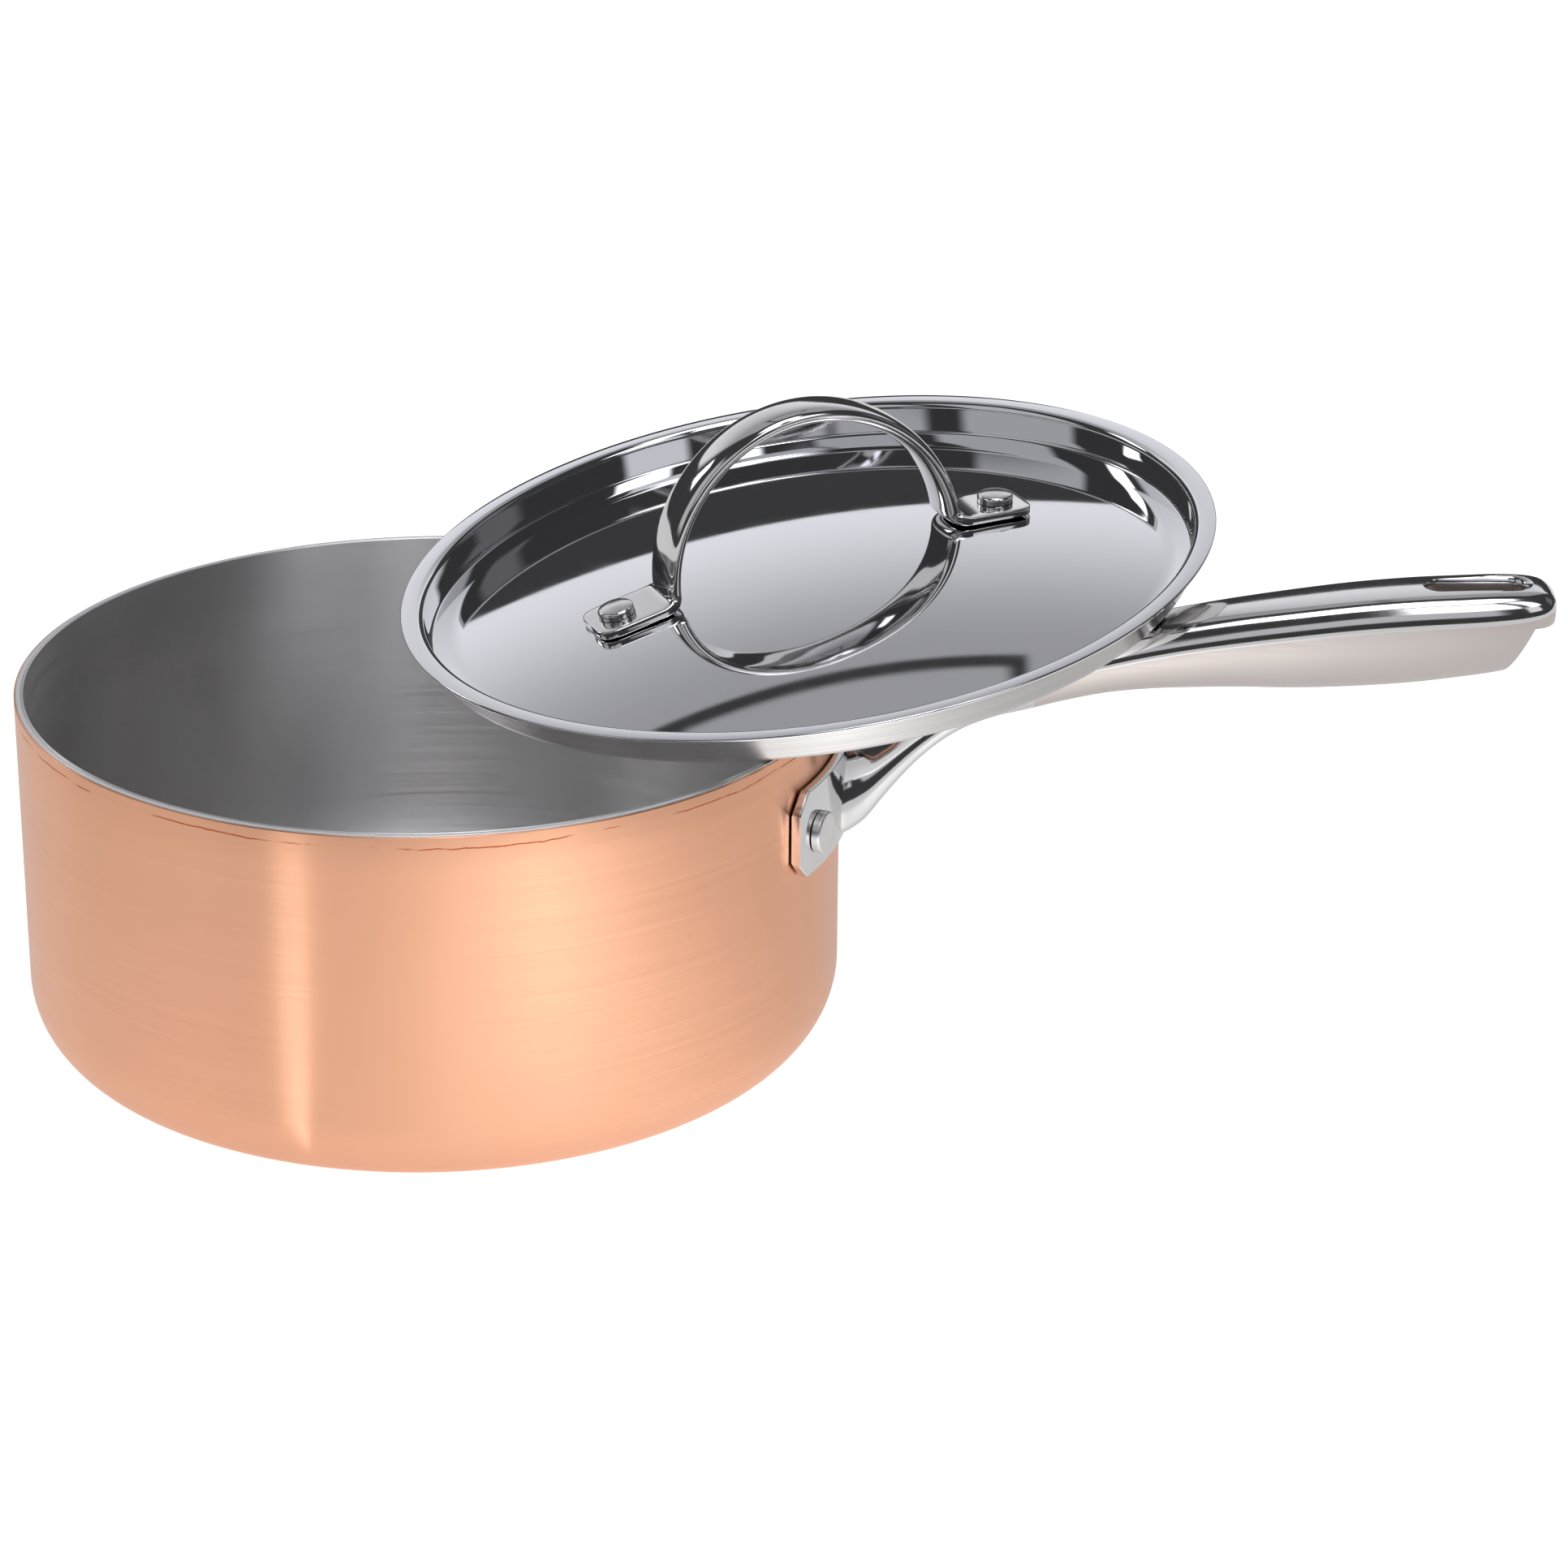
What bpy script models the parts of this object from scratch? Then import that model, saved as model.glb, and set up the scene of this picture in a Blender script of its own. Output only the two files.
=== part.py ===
"""Tri-ply copper saucepan with a cast steel handle and a pressed steel lid that leans on it."""

import math

import bmesh
import bpy
from mathutils import Matrix, Vector

# Pan body: three bonded layers, all sizes in metres.
PAN_RADIUS = 0.1000
PAN_HEIGHT = 0.0914
BASE_CORNER = 0.0184
COPPER_THICK = 0.0005
CORE_THICK = 0.0011
LINER_THICK = 0.0005
LAYER_GAP = 0.00012
COPPER_DROP = 0.00025
PAN_FACETS = 64
CORNER_STEPS = 6

# Pan handle: its curved mounting plate, its neck and its grip.
PLATE_GAP = 0.0004
PLATE_THICK = 0.0024
PLATE_HALF_ANGLE = 28.4
PLATE_BOTTOM = PAN_HEIGHT - 0.0334
PLATE_TOP = PAN_HEIGHT - 0.0114
PLATE_CORNER = 0.0040
STATION_LIP = 0.0914
HANDLE_LIFT = PAN_HEIGHT - STATION_LIP
SLOT_CENTRE_X = 0.2527
SLOT_LENGTH = 0.0244
SLOT_WIDTH = 0.0080

# Rivets of the pan handle.
PAN_RIVET_ANGLE = 22.8
PAN_RIVET_HEIGHT = PAN_HEIGHT - 0.0237
PAN_RIVET_HEAD = 0.0103
PAN_RIVET_HEAD_TALL = 0.0024
PAN_RIVET_SHANK = 0.0048
HOLE_CLEARANCE = 0.0003
SEAT_GAP = 0.0003

# Lid: a pressed disc with a flat rim and a recess wall, about its own centre.
LID_RADIUS = 0.1025
LID_THICK = 0.0008
LID_RIM_WIDTH = 0.0038
LID_RIM_BEND = 0.0019
LID_DEPTH = 0.0092
LID_WALL_TAPER = 0.0008
LID_FOOT_BEND = 0.0016
LID_DOME_RADIUS = 0.4500
LID_DOME_CROWN = -0.0003
LID_DOME_EDGE = LID_RADIUS * 0.732
LID_FACETS = 64

# How the lid leans: its centre, then its rise to the right and to the back.
# A wider lid leans on the same rim and handle with its middle higher.
LID_LIFT = 0.0045425 + LID_RADIUS * 0.123
LID_CENTRE = (0.0914, 0.0398, PAN_HEIGHT + LID_LIFT)
LID_RISE_X = 7.95
LID_RISE_Y = 3.80

# Loop on the lid: a half-round strap with a flat tab at each foot.
LOOP_TURN = 23.9
LOOP_SHIFT = 0.0007
LOOP_DROP = 0.0005
LOOP_RADIUS = 0.0383
LOOP_WIDTH = 0.0140
LOOP_THICK = 0.0044
TAB_WIDTH = 0.0166
TAB_THICK = 0.0022
TAB_END = 0.0592
LOOP_BEND = 0.0040
LID_RIVET_SPREAD = 0.0518
LID_RIVET_HEAD = 0.0092
LID_RIVET_HEAD_TALL = 0.0024
LID_RIVET_SHANK = 0.0044


def clear_scene():
    for item in list(bpy.data.objects):
        bpy.data.objects.remove(item, do_unlink=True)


def material(name, colour, metallic, roughness):
    made = bpy.data.materials.new(name)
    made.use_nodes = True
    shader = made.node_tree.nodes["Principled BSDF"]
    shader.inputs["Base Color"].default_value = (colour[0], colour[1], colour[2], 1.0)
    shader.inputs["Metallic"].default_value = metallic
    shader.inputs["Roughness"].default_value = roughness
    made.diffuse_color = (colour[0], colour[1], colour[2], 1.0)
    return made


def new_object(name, points, faces, look, frame=None, smooth=True):
    mesh = bpy.data.meshes.new(name)
    mesh.from_pydata([tuple(point) for point in points], [], faces)
    mesh.update()
    work = bmesh.new()
    work.from_mesh(mesh)
    bmesh.ops.remove_doubles(work, verts=work.verts, dist=1e-7)
    bmesh.ops.recalc_face_normals(work, faces=work.faces)
    work.to_mesh(mesh)
    work.free()
    if smooth:
        mesh.polygons.foreach_set("use_smooth", [True] * len(mesh.polygons))
    made = bpy.data.objects.new(name, mesh)
    bpy.context.scene.collection.objects.link(made)
    if look is not None:
        mesh.materials.append(look)
    if frame is not None:
        made.matrix_world = frame
    return made


def turned(name, profile, facets, look, frame=None):
    """A closed outline of (radius, height) turned about +Z; points at radius 0 close the poles."""
    points = []
    rings = []
    for radius, height in profile:
        if radius < 1e-7:
            rings.append([len(points)] * facets)
            points.append((0.0, 0.0, height))
            continue
        ring = []
        for step in range(facets):
            angle = 2.0 * math.pi * step / facets
            ring.append(len(points))
            points.append((radius * math.cos(angle), radius * math.sin(angle), height))
        rings.append(ring)
    faces = []
    closed = profile[0][0] > 1e-7 or profile[-1][0] > 1e-7
    pairs = [(i, i + 1) for i in range(len(rings) - 1)]
    if closed:
        pairs.append((len(rings) - 1, 0))
    for low, high in pairs:
        for step in range(facets):
            nxt = (step + 1) % facets
            corners = [rings[low][step], rings[low][nxt], rings[high][nxt], rings[high][step]]
            kept = []
            for corner in corners:
                if corner not in kept:
                    kept.append(corner)
            if len(kept) > 2:
                faces.append(kept)
    return new_object(name, points, faces, look, frame)


def lofted(name, sections, look, frame=None):
    """Rings of equal length joined in order and capped at both ends."""
    points = []
    for ring in sections:
        points.extend(ring)
    count = len(sections[0])
    faces = []
    for row in range(len(sections) - 1):
        for step in range(count):
            nxt = (step + 1) % count
            faces.append(
                [
                    row * count + step,
                    row * count + nxt,
                    (row + 1) * count + nxt,
                    (row + 1) * count + step,
                ]
            )
    last = (len(sections) - 1) * count
    faces.append([step for step in reversed(range(count))])
    faces.append([last + step for step in range(count)])
    return new_object(name, points, faces, look, frame)


def helper(item):
    item.hide_render = True
    item.display_type = "WIRE"
    return item


def boolean(target, cutter, operation):
    modifier = target.modifiers.new(operation.lower(), "BOOLEAN")
    modifier.operation = operation
    modifier.solver = "EXACT"
    modifier.object = cutter


def arc(centre_r, centre_z, radius, start, end, steps):
    """Points on an arc, angles in degrees measured from +radius towards +height."""
    points = []
    for step in range(steps + 1):
        angle = math.radians(start + (end - start) * step / steps)
        points.append((centre_r + radius * math.cos(angle), centre_z + radius * math.sin(angle)))
    return points


def layer_profile(outside, inside, top):
    """One cup-shaped layer between two offsets in from the outer surface of the pan."""
    outline = [(0.0, outside)]
    outer_bend = BASE_CORNER - outside
    centre_r = PAN_RADIUS - BASE_CORNER
    outline += arc(centre_r, BASE_CORNER, outer_bend, -90.0, 0.0, CORNER_STEPS)
    outline.append((PAN_RADIUS - outside, top))
    outline.append((PAN_RADIUS - inside, top))
    inner_bend = BASE_CORNER - inside
    outline += arc(centre_r, BASE_CORNER, inner_bend, 0.0, -90.0, CORNER_STEPS)
    outline.append((0.0, inside))
    return outline


def rivet_frame(angle):
    """Frame on the pan's axis at rivet height whose local +Z points out through the wall."""
    turn = Matrix.Rotation(math.radians(angle), 4, "Z")
    tip = Matrix.Rotation(math.radians(90.0), 4, "Y")
    return Matrix.Translation((0.0, 0.0, PAN_RIVET_HEIGHT)) @ turn @ tip


def rivet_cutter(name, frame, radius, low, high):
    profile = [(0.0, low), (radius, low), (radius, high), (0.0, high)]
    return helper(turned(name, profile, 24, None, frame))


def pan_layers():
    copper = material("copper_satin", (0.87, 0.50, 0.36), 1.0, 0.28)
    core = material("aluminium_cut", (0.80, 0.80, 0.80), 1.0, 0.40)
    liner = material("steel_interior", (0.62, 0.60, 0.57), 1.0, 0.34)
    depth_core = COPPER_THICK + LAYER_GAP
    depth_liner = depth_core + CORE_THICK + LAYER_GAP
    layers = [
        ("copper_shell", 0.0, COPPER_THICK, PAN_HEIGHT - COPPER_DROP, copper),
        ("aluminium_core", depth_core, depth_core + CORE_THICK, PAN_HEIGHT, core),
        ("steel_liner", depth_liner, depth_liner + LINER_THICK, PAN_HEIGHT, liner),
    ]
    made = []
    for name, outside, inside, top, look in layers:
        made.append(turned(name, layer_profile(outside, inside, top), PAN_FACETS, look))
    return made


def plate_block(look):
    """Curved plate with clipped corners that lies round the pan's wall."""
    inner = PAN_RADIUS + PLATE_GAP
    outer = inner + PLATE_THICK
    steps = 22
    sections = []
    for step in range(steps + 1):
        angle = math.radians(-PLATE_HALF_ANGLE + 2.0 * PLATE_HALF_ANGLE * step / steps)
        arc_left = (math.radians(PLATE_HALF_ANGLE) - abs(angle)) * outer
        clip = max(0.0, PLATE_CORNER - arc_left)
        low = PLATE_BOTTOM + clip
        high = PLATE_TOP - clip * 1.1
        edge = 0.0005
        outline = [
            (inner, low + edge),
            (inner + edge, low),
            (outer - edge, low),
            (outer, low + edge),
            (outer, high - edge),
            (outer - edge, high),
            (inner + edge, high),
            (inner, high - edge),
        ]
        ring = []
        for radius, height in outline:
            ring.append((radius * math.cos(angle), radius * math.sin(angle), height))
        sections.append(ring)
    return lofted("pan_handle", sections, look)


# Handle stations, in millimetres: along, top, widest line, bottom, half width, half top.
# Their heights belong to a lip at STATION_LIP, and HANDLE_LIFT moves them with the real lip.
HANDLE_STATIONS = [
    (101.9, 79.6, 70.0, 58.4, 23.0, 20.0),
    (103.4, 79.9, 70.2, 58.5, 22.4, 18.8),
    (105.2, 80.6, 71.0, 59.4, 21.4, 17.4),
    (107.7, 81.8, 72.6, 61.4, 20.2, 15.8),
    (111.0, 83.6, 75.2, 65.8, 18.9, 14.0),
    (115.0, 86.0, 78.6, 70.6, 17.5, 12.2),
    (119.5, 88.6, 82.0, 75.2, 16.1, 10.6),
    (124.5, 91.2, 85.2, 79.0, 14.9, 9.2),
    (130.0, 93.6, 88.0, 81.8, 13.8, 8.0),
    (137.0, 96.2, 90.6, 83.8, 12.8, 7.0),
    (145.0, 98.8, 93.2, 85.2, 11.9, 6.2),
    (154.0, 101.3, 95.8, 87.2, 11.2, 5.5),
    (164.0, 104.5, 98.2, 89.2, 10.8, 5.0),
    (174.0, 107.1, 100.4, 90.2, 10.8, 4.8),
    (184.0, 109.0, 102.4, 90.6, 11.0, 5.2),
    (196.0, 111.0, 104.3, 90.8, 11.4, 6.0),
    (210.0, 113.0, 106.3, 90.7, 11.9, 6.7),
    (224.0, 114.8, 108.0, 91.2, 12.2, 7.1),
    (238.0, 116.1, 109.2, 92.3, 12.3, 7.2),
    (250.0, 116.8, 110.0, 93.9, 12.2, 7.1),
    (258.0, 117.2, 110.6, 95.2, 11.9, 6.9),
    (264.0, 117.3, 111.2, 96.8, 11.2, 6.3),
    (268.0, 117.0, 111.8, 99.6, 10.0, 5.4),
    (270.2, 116.2, 112.4, 103.5, 8.4, 4.2),
    (271.6, 115.0, 112.6, 107.0, 6.2, 2.8),
]


def handle_ring(station):
    along, top, wide, bottom, half, flat = [value * 0.001 for value in station]
    bend = min(1.0, max(0.0, (0.140 - along) / (0.140 - 0.1034)))
    bend = bend * bend
    shoulder = half - flat
    rise = top - wide
    quarter = [
        (0.0, top),
        (flat * 0.60, top - rise * 0.01),
        (flat, top - rise * 0.06),
        (flat + shoulder * 0.22, top - rise * 0.17),
        (flat + shoulder * 0.62, top - rise * 0.55),
        (flat + shoulder * 0.90, top - rise * 0.88),
        (half, wide),
    ]
    drop = wide - bottom
    power = 2.4 + 3.0 * bend
    for step in range(1, 8):
        angle = math.radians(90.0 * step / 8)
        side = half * math.cos(angle) ** (2.0 / power)
        down = drop * math.sin(angle) ** (2.0 / power)
        quarter.append((side, wide - down))
    quarter.append((0.0, bottom))
    outline = quarter + [(-side, height) for side, height in reversed(quarter[1:-1])]
    ring = []
    for side, height in outline:
        sag = along - math.sqrt(along * along - side * side)
        ring.append((along - bend * sag, side, height + HANDLE_LIFT))
    return ring


def stadium(length, width, steps):
    """Outline of a slot with round ends, lengthways along X."""
    reach = (length - width) / 2.0
    radius = width / 2.0
    points = []
    for step in range(steps + 1):
        angle = math.radians(-90.0 + 180.0 * step / steps)
        points.append((reach + radius * math.cos(angle), radius * math.sin(angle)))
    for step in range(steps + 1):
        angle = math.radians(90.0 + 180.0 * step / steps)
        points.append((-reach + radius * math.cos(angle), radius * math.sin(angle)))
    return points


def slot_cutter():
    levels = [
        (0.0800, 0.0),
        (0.1141, 0.0),
        (0.1155, 0.0002),
        (0.1162, 0.0006),
        (0.1167, 0.0013),
        (0.1171, 0.0024),
        (0.1200, 0.0074),
    ]
    sections = []
    for height, flare in levels:
        ring = []
        for along, side in stadium(SLOT_LENGTH + flare, SLOT_WIDTH + flare, 8):
            ring.append((SLOT_CENTRE_X + along, side, height + HANDLE_LIFT))
        sections.append(ring)
    return helper(lofted("slot_cutter", sections, None))


def end_cutter():
    """Wedge that trims the end of the grip on a slant below its polished top."""
    outline = [
        (0.2570, 0.0900),
        (0.2662, 0.1092),
        (0.2900, 0.1092),
        (0.2900, 0.0900),
    ]
    sections = []
    for side in (-0.020, 0.020):
        sections.append([(along, side, height + HANDLE_LIFT) for along, height in outline])
    return helper(lofted("end_cutter", sections, None))


def wall_cutter():
    """Round plug just inside the plate, so that the neck keeps clear of the pan's wall."""
    radius = PAN_RADIUS + PLATE_GAP - 0.00005
    low = PLATE_BOTTOM - 0.008
    high = PLATE_TOP + 0.010
    profile = [(0.0, low), (radius, low), (radius, high), (0.0, high)]
    return helper(turned("wall_cutter", profile, PAN_FACETS, None))


def pan_handle():
    look = material("steel_cast_handle", (0.66, 0.64, 0.62), 1.0, 0.18)
    plate = plate_block(look)
    grip = lofted("grip_body", [handle_ring(station) for station in HANDLE_STATIONS], None)
    helper(grip)
    boolean(plate, grip, "UNION")
    boolean(plate, wall_cutter(), "DIFFERENCE")
    boolean(plate, slot_cutter(), "DIFFERENCE")
    boolean(plate, end_cutter(), "DIFFERENCE")
    return plate


def pan_rivet(name, angle, look):
    """Solid rivet: outer head on the plate, shank through the wall, inner head in the pan."""
    wall = COPPER_THICK + CORE_THICK + LINER_THICK + 2.0 * LAYER_GAP
    out_face = PAN_RADIUS + PLATE_GAP + PLATE_THICK + SEAT_GAP
    in_face = PAN_RADIUS - wall - 2.0 * SEAT_GAP
    head = PAN_RIVET_HEAD / 2.0
    shank = PAN_RIVET_SHANK / 2.0
    tall = PAN_RIVET_HEAD_TALL
    inner = head * 1.04
    profile = [
        (0.0, in_face - 0.0015),
        (inner * 0.55, in_face - 0.0014),
        (inner * 0.85, in_face - 0.0010),
        (inner, in_face - 0.0003),
        (inner, in_face),
        (shank, in_face),
        (shank, out_face),
        (head, out_face),
        (head, out_face + tall * 0.70),
        (head * 0.94, out_face + tall * 0.88),
        (head * 0.82, out_face + tall * 0.95),
        (0.0, out_face + tall),
    ]
    return turned(name, profile, 24, look, rivet_frame(angle))


def cut_pan_rivet_holes(layers, plate):
    radius = PAN_RIVET_SHANK / 2.0 + HOLE_CLEARANCE
    for label, angle in (("near", -PAN_RIVET_ANGLE), ("far", PAN_RIVET_ANGLE)):
        cutter = rivet_cutter("pan_hole_" + label, rivet_frame(angle), radius, 0.090, 0.108)
        for item in layers + [plate]:
            boolean(item, cutter, "DIFFERENCE")


def lid_frame():
    """Frame whose +Z is square to the lid's rim and whose origin is the rim's centre."""
    normal = Vector((-math.sin(math.radians(LID_RISE_X)), -math.sin(math.radians(LID_RISE_Y)), 1.0))
    normal.normalize()
    side = Vector((1.0, 0.0, 0.0)) - normal * normal.x
    side.normalize()
    back = normal.cross(side)
    frame = Matrix((side, back, normal)).transposed().to_4x4()
    frame.translation = Vector(LID_CENTRE)
    return frame


def floor_height(radius):
    """Upper surface of the lid's floor: a shallow dome that levels out near the wall."""
    if radius <= LID_DOME_EDGE:
        return LID_DOME_CROWN - radius * radius / (2.0 * LID_DOME_RADIUS)
    outer = LID_RADIUS - LID_RIM_WIDTH - LID_RIM_BEND - LID_WALL_TAPER - 0.0012
    level = -LID_DEPTH + LID_THICK
    start = LID_DOME_CROWN - LID_DOME_EDGE * LID_DOME_EDGE / (2.0 * LID_DOME_RADIUS)
    slope = -LID_DOME_EDGE / LID_DOME_RADIUS
    span = outer - LID_DOME_EDGE
    t = min(1.0, (radius - LID_DOME_EDGE) / span)
    keep = (2.0 * t**3 - 3.0 * t**2 + 1.0) * start
    lean = (t**3 - 2.0 * t**2 + t) * slope * span
    end = (3.0 * t**2 - 2.0 * t**3) * level
    return keep + lean + end


def lid_disc():
    look = material("steel_lid_polished", (0.70, 0.70, 0.71), 1.0, 0.07)
    bend_r = LID_RADIUS - LID_RIM_WIDTH
    inner_wall = bend_r - LID_RIM_BEND
    foot_r = inner_wall - LID_WALL_TAPER
    level = -LID_DEPTH + LID_THICK
    inside_bend = LID_FOOT_BEND - LID_THICK
    upper = []
    for part in (0.195, 0.390, 0.546, 0.663, 0.741, 0.810, 0.868):
        upper.append((LID_RADIUS * part, floor_height(LID_RADIUS * part)))
    top = [(0.0, floor_height(0.0))] + upper
    top += arc(foot_r - inside_bend, level + inside_bend, inside_bend, -90.0, 0.0, 3)
    top += list(reversed(arc(bend_r, -LID_RIM_BEND, LID_RIM_BEND, 90.0, 180.0, 5)))
    top += [(LID_RADIUS - 0.0002, 0.0), (LID_RADIUS, -0.0002)]
    under = [(LID_RADIUS, -LID_THICK + 0.0002), (LID_RADIUS - 0.0002, -LID_THICK)]
    under += arc(bend_r, -LID_RIM_BEND, LID_RIM_BEND - LID_THICK, 90.0, 180.0, 3)
    outer_foot = foot_r + LID_THICK
    centre = outer_foot - LID_FOOT_BEND
    under += arc(centre, -LID_DEPTH + LID_FOOT_BEND, LID_FOOT_BEND, 0.0, -90.0, 4)
    for radius, height in reversed(upper):
        under.append((radius, height - LID_THICK))
    under.append((0.0, floor_height(0.0) - LID_THICK))
    return turned("lid_disc", top + under, LID_FACETS, look, lid_frame())


def strap_ring(centre, tangent, width, thick, roundness):
    """Section of the strap: across +Y, its outer face away from the arch's middle."""
    outward = Vector((-tangent.z, 0.0, tangent.x))
    across = Vector((0.0, 1.0, 0.0))
    ring = []
    count = 20
    for step in range(count):
        angle = 2.0 * math.pi * step / count
        power = 2.0 / roundness
        cosine = math.cos(angle)
        sine = math.sin(angle)
        y = math.copysign(abs(cosine) ** power, cosine) * width / 2.0
        z = math.copysign(abs(sine) ** power, sine) * thick / 2.0
        ring.append(tuple(centre + across * y + outward * z))
    return ring


def loop_placing():
    """Turn of the loop on the lid, with its small offset along its own length."""
    turn = Matrix.Rotation(math.radians(LOOP_TURN), 4, "Z")
    return turn @ Matrix.Translation((LOOP_SHIFT, 0.0, 0.0))


def lid_loop():
    """Arch and two tabs, swept as one strap in the plane of the two rivets."""
    look = material("steel_loop_polished", (0.68, 0.67, 0.66), 1.0, 0.10)
    seat = SEAT_GAP
    foot_slope = math.atan(LID_RIVET_SPREAD / LID_DOME_RADIUS)
    foot = Vector((LID_RIVET_SPREAD, 0.0, floor_height(LID_RIVET_SPREAD) + seat + TAB_THICK / 2.0))
    along = Vector((math.cos(foot_slope), 0.0, -math.sin(foot_slope)))
    half = []
    for step in range(0, 21):
        angle = math.radians(90.0 - 87.0 * step / 20)
        rise = LOOP_RADIUS * math.sin(angle) - LOOP_DROP
        place = Vector((LOOP_RADIUS * math.cos(angle), 0.0, rise))
        heading = Vector((math.sin(angle), 0.0, -math.cos(angle)))
        half.append((place, heading, LOOP_WIDTH, LOOP_THICK, 2.6))
    arch_foot = half[-1][0]
    arch_heading = half[-1][1]
    corner_s = (arch_foot.x + LOOP_BEND - foot.x) / along.x
    corner = foot + along * corner_s
    for step in range(1, 7):
        t = step / 7.0
        knee = Vector((arch_foot.x, 0.0, foot.z - along.z / along.x * (foot.x - arch_foot.x)))
        place = arch_foot * (1.0 - t) ** 2 + knee * 2.0 * t * (1.0 - t) + corner * t * t
        heading = (knee - arch_foot) * (1.0 - t) + (corner - knee) * t
        heading.normalize()
        width = LOOP_WIDTH + (TAB_WIDTH - LOOP_WIDTH) * t
        thick = LOOP_THICK + (TAB_THICK - LOOP_THICK) * t
        half.append((place, heading, width, thick, 2.6 + 2.4 * t))
    reach = (TAB_END - corner.x) / along.x
    shape = [(0.0, 1.0), (0.25, 1.0), (0.5, 1.0), (0.74, 1.0), (0.86, 0.95), (0.94, 0.86), (1.0, 0.66)]
    for part, narrow in shape:
        place = corner + along * (reach * part)
        thin = 1.0 if part < 0.97 else 0.7
        half.append((place, along.copy(), TAB_WIDTH * narrow, TAB_THICK * thin, 5.0))
    sections = []
    for place, heading, width, thick, power in reversed(half[1:]):
        mirrored = Vector((-place.x, 0.0, place.z))
        back = Vector((heading.x, 0.0, -heading.z))
        sections.append(strap_ring(mirrored, back, width, thick, power))
    for place, heading, width, thick, power in half:
        sections.append(strap_ring(place, heading, width, thick, power))
    return lofted("lid_loop", sections, look, lid_frame() @ loop_placing())


def lid_rivet_frame(side):
    """Frame at a loop rivet on the floor of the lid, +Z square to the domed floor."""
    slope = math.atan(LID_RIVET_SPREAD / LID_DOME_RADIUS)
    turn = loop_placing()
    place = Matrix.Translation((side * LID_RIVET_SPREAD, 0.0, floor_height(LID_RIVET_SPREAD)))
    lean = Matrix.Rotation(side * slope, 4, "Y")
    return lid_frame() @ turn @ place @ lean


def lid_rivet(name, side, look):
    head = LID_RIVET_HEAD / 2.0
    shank = LID_RIVET_SHANK / 2.0
    tall = LID_RIVET_HEAD_TALL
    out_face = SEAT_GAP + TAB_THICK + SEAT_GAP
    in_face = -LID_THICK - SEAT_GAP
    under = head * 0.86
    profile = [
        (0.0, in_face - 0.0012),
        (under * 0.60, in_face - 0.0011),
        (under * 0.90, in_face - 0.0008),
        (under, in_face - 0.0003),
        (under, in_face),
        (shank, in_face),
        (shank, out_face),
        (head, out_face),
        (head, out_face + tall * 0.62),
        (head * 0.94, out_face + tall * 0.80),
        (head * 0.72, out_face + tall * 0.93),
        (0.0, out_face + tall),
    ]
    return turned(name, profile, 24, look, lid_rivet_frame(side))


def cut_lid_rivet_holes(items):
    radius = LID_RIVET_SHANK / 2.0 + HOLE_CLEARANCE
    for label, side in (("left", -1.0), ("right", 1.0)):
        frame = lid_rivet_frame(side)
        cutter = rivet_cutter("lid_hole_" + label, frame, radius, -0.004, 0.006)
        for item in items:
            boolean(item, cutter, "DIFFERENCE")


def build():
    clear_scene()
    layers = pan_layers()
    handle = pan_handle()
    cut_pan_rivet_holes(layers, handle)
    pan_look = material("steel_pan_rivet", (0.68, 0.67, 0.66), 1.0, 0.20)
    pan_rivet("pan_rivet_near", -PAN_RIVET_ANGLE, pan_look)
    far_look = material("steel_pan_rivet_far", (0.68, 0.67, 0.66), 1.0, 0.20)
    pan_rivet("pan_rivet_far", PAN_RIVET_ANGLE, far_look)
    disc = lid_disc()
    loop = lid_loop()
    cut_lid_rivet_holes([disc, loop])
    left_look = material("steel_lid_rivet_left", (0.70, 0.70, 0.69), 1.0, 0.14)
    lid_rivet("lid_rivet_left", -1.0, left_look)
    right_look = material("steel_lid_rivet_right", (0.70, 0.70, 0.69), 1.0, 0.14)
    lid_rivet("lid_rivet_right", 1.0, right_look)
    bpy.context.view_layer.update()


build()
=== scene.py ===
import math

import bmesh
import bpy
from mathutils import Matrix, Vector


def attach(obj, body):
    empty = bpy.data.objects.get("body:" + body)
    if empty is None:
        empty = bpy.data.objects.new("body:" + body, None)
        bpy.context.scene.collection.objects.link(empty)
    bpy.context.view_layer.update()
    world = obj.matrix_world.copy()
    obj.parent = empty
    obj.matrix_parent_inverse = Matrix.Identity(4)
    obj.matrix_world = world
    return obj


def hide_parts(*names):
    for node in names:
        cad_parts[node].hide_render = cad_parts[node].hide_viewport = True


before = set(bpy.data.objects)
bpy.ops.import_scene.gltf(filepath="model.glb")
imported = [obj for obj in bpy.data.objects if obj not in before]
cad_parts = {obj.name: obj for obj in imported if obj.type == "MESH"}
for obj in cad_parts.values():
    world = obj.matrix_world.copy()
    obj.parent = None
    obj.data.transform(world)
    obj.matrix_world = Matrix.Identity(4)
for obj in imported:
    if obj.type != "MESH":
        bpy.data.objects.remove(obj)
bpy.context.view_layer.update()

# The camera stands a metre in front of the pan, above its rim, and looks down at the lid.
# A long lens keeps the round rims close to true ellipses.
camera = bpy.data.objects.new("camera", bpy.data.cameras.new("camera"))
bpy.context.scene.collection.objects.link(camera)
bpy.context.scene.camera = camera
camera.data.sensor_width = 36.0
camera.data.lens = 104.64
look_down = math.radians(22.78)
roll = math.radians(-0.457)
ahead = Vector((0.0, math.cos(look_down), -math.sin(look_down)))
below = Vector((0.0, -math.sin(look_down), -math.cos(look_down)))
across = Vector((1.0, 0.0, 0.0)) * math.cos(roll) + below * math.sin(roll)
upward = Vector((1.0, 0.0, 0.0)) * math.sin(roll) - below * math.cos(roll)
camera.matrix_world = Matrix((across, upward, -ahead)).transposed().to_4x4()
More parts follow.
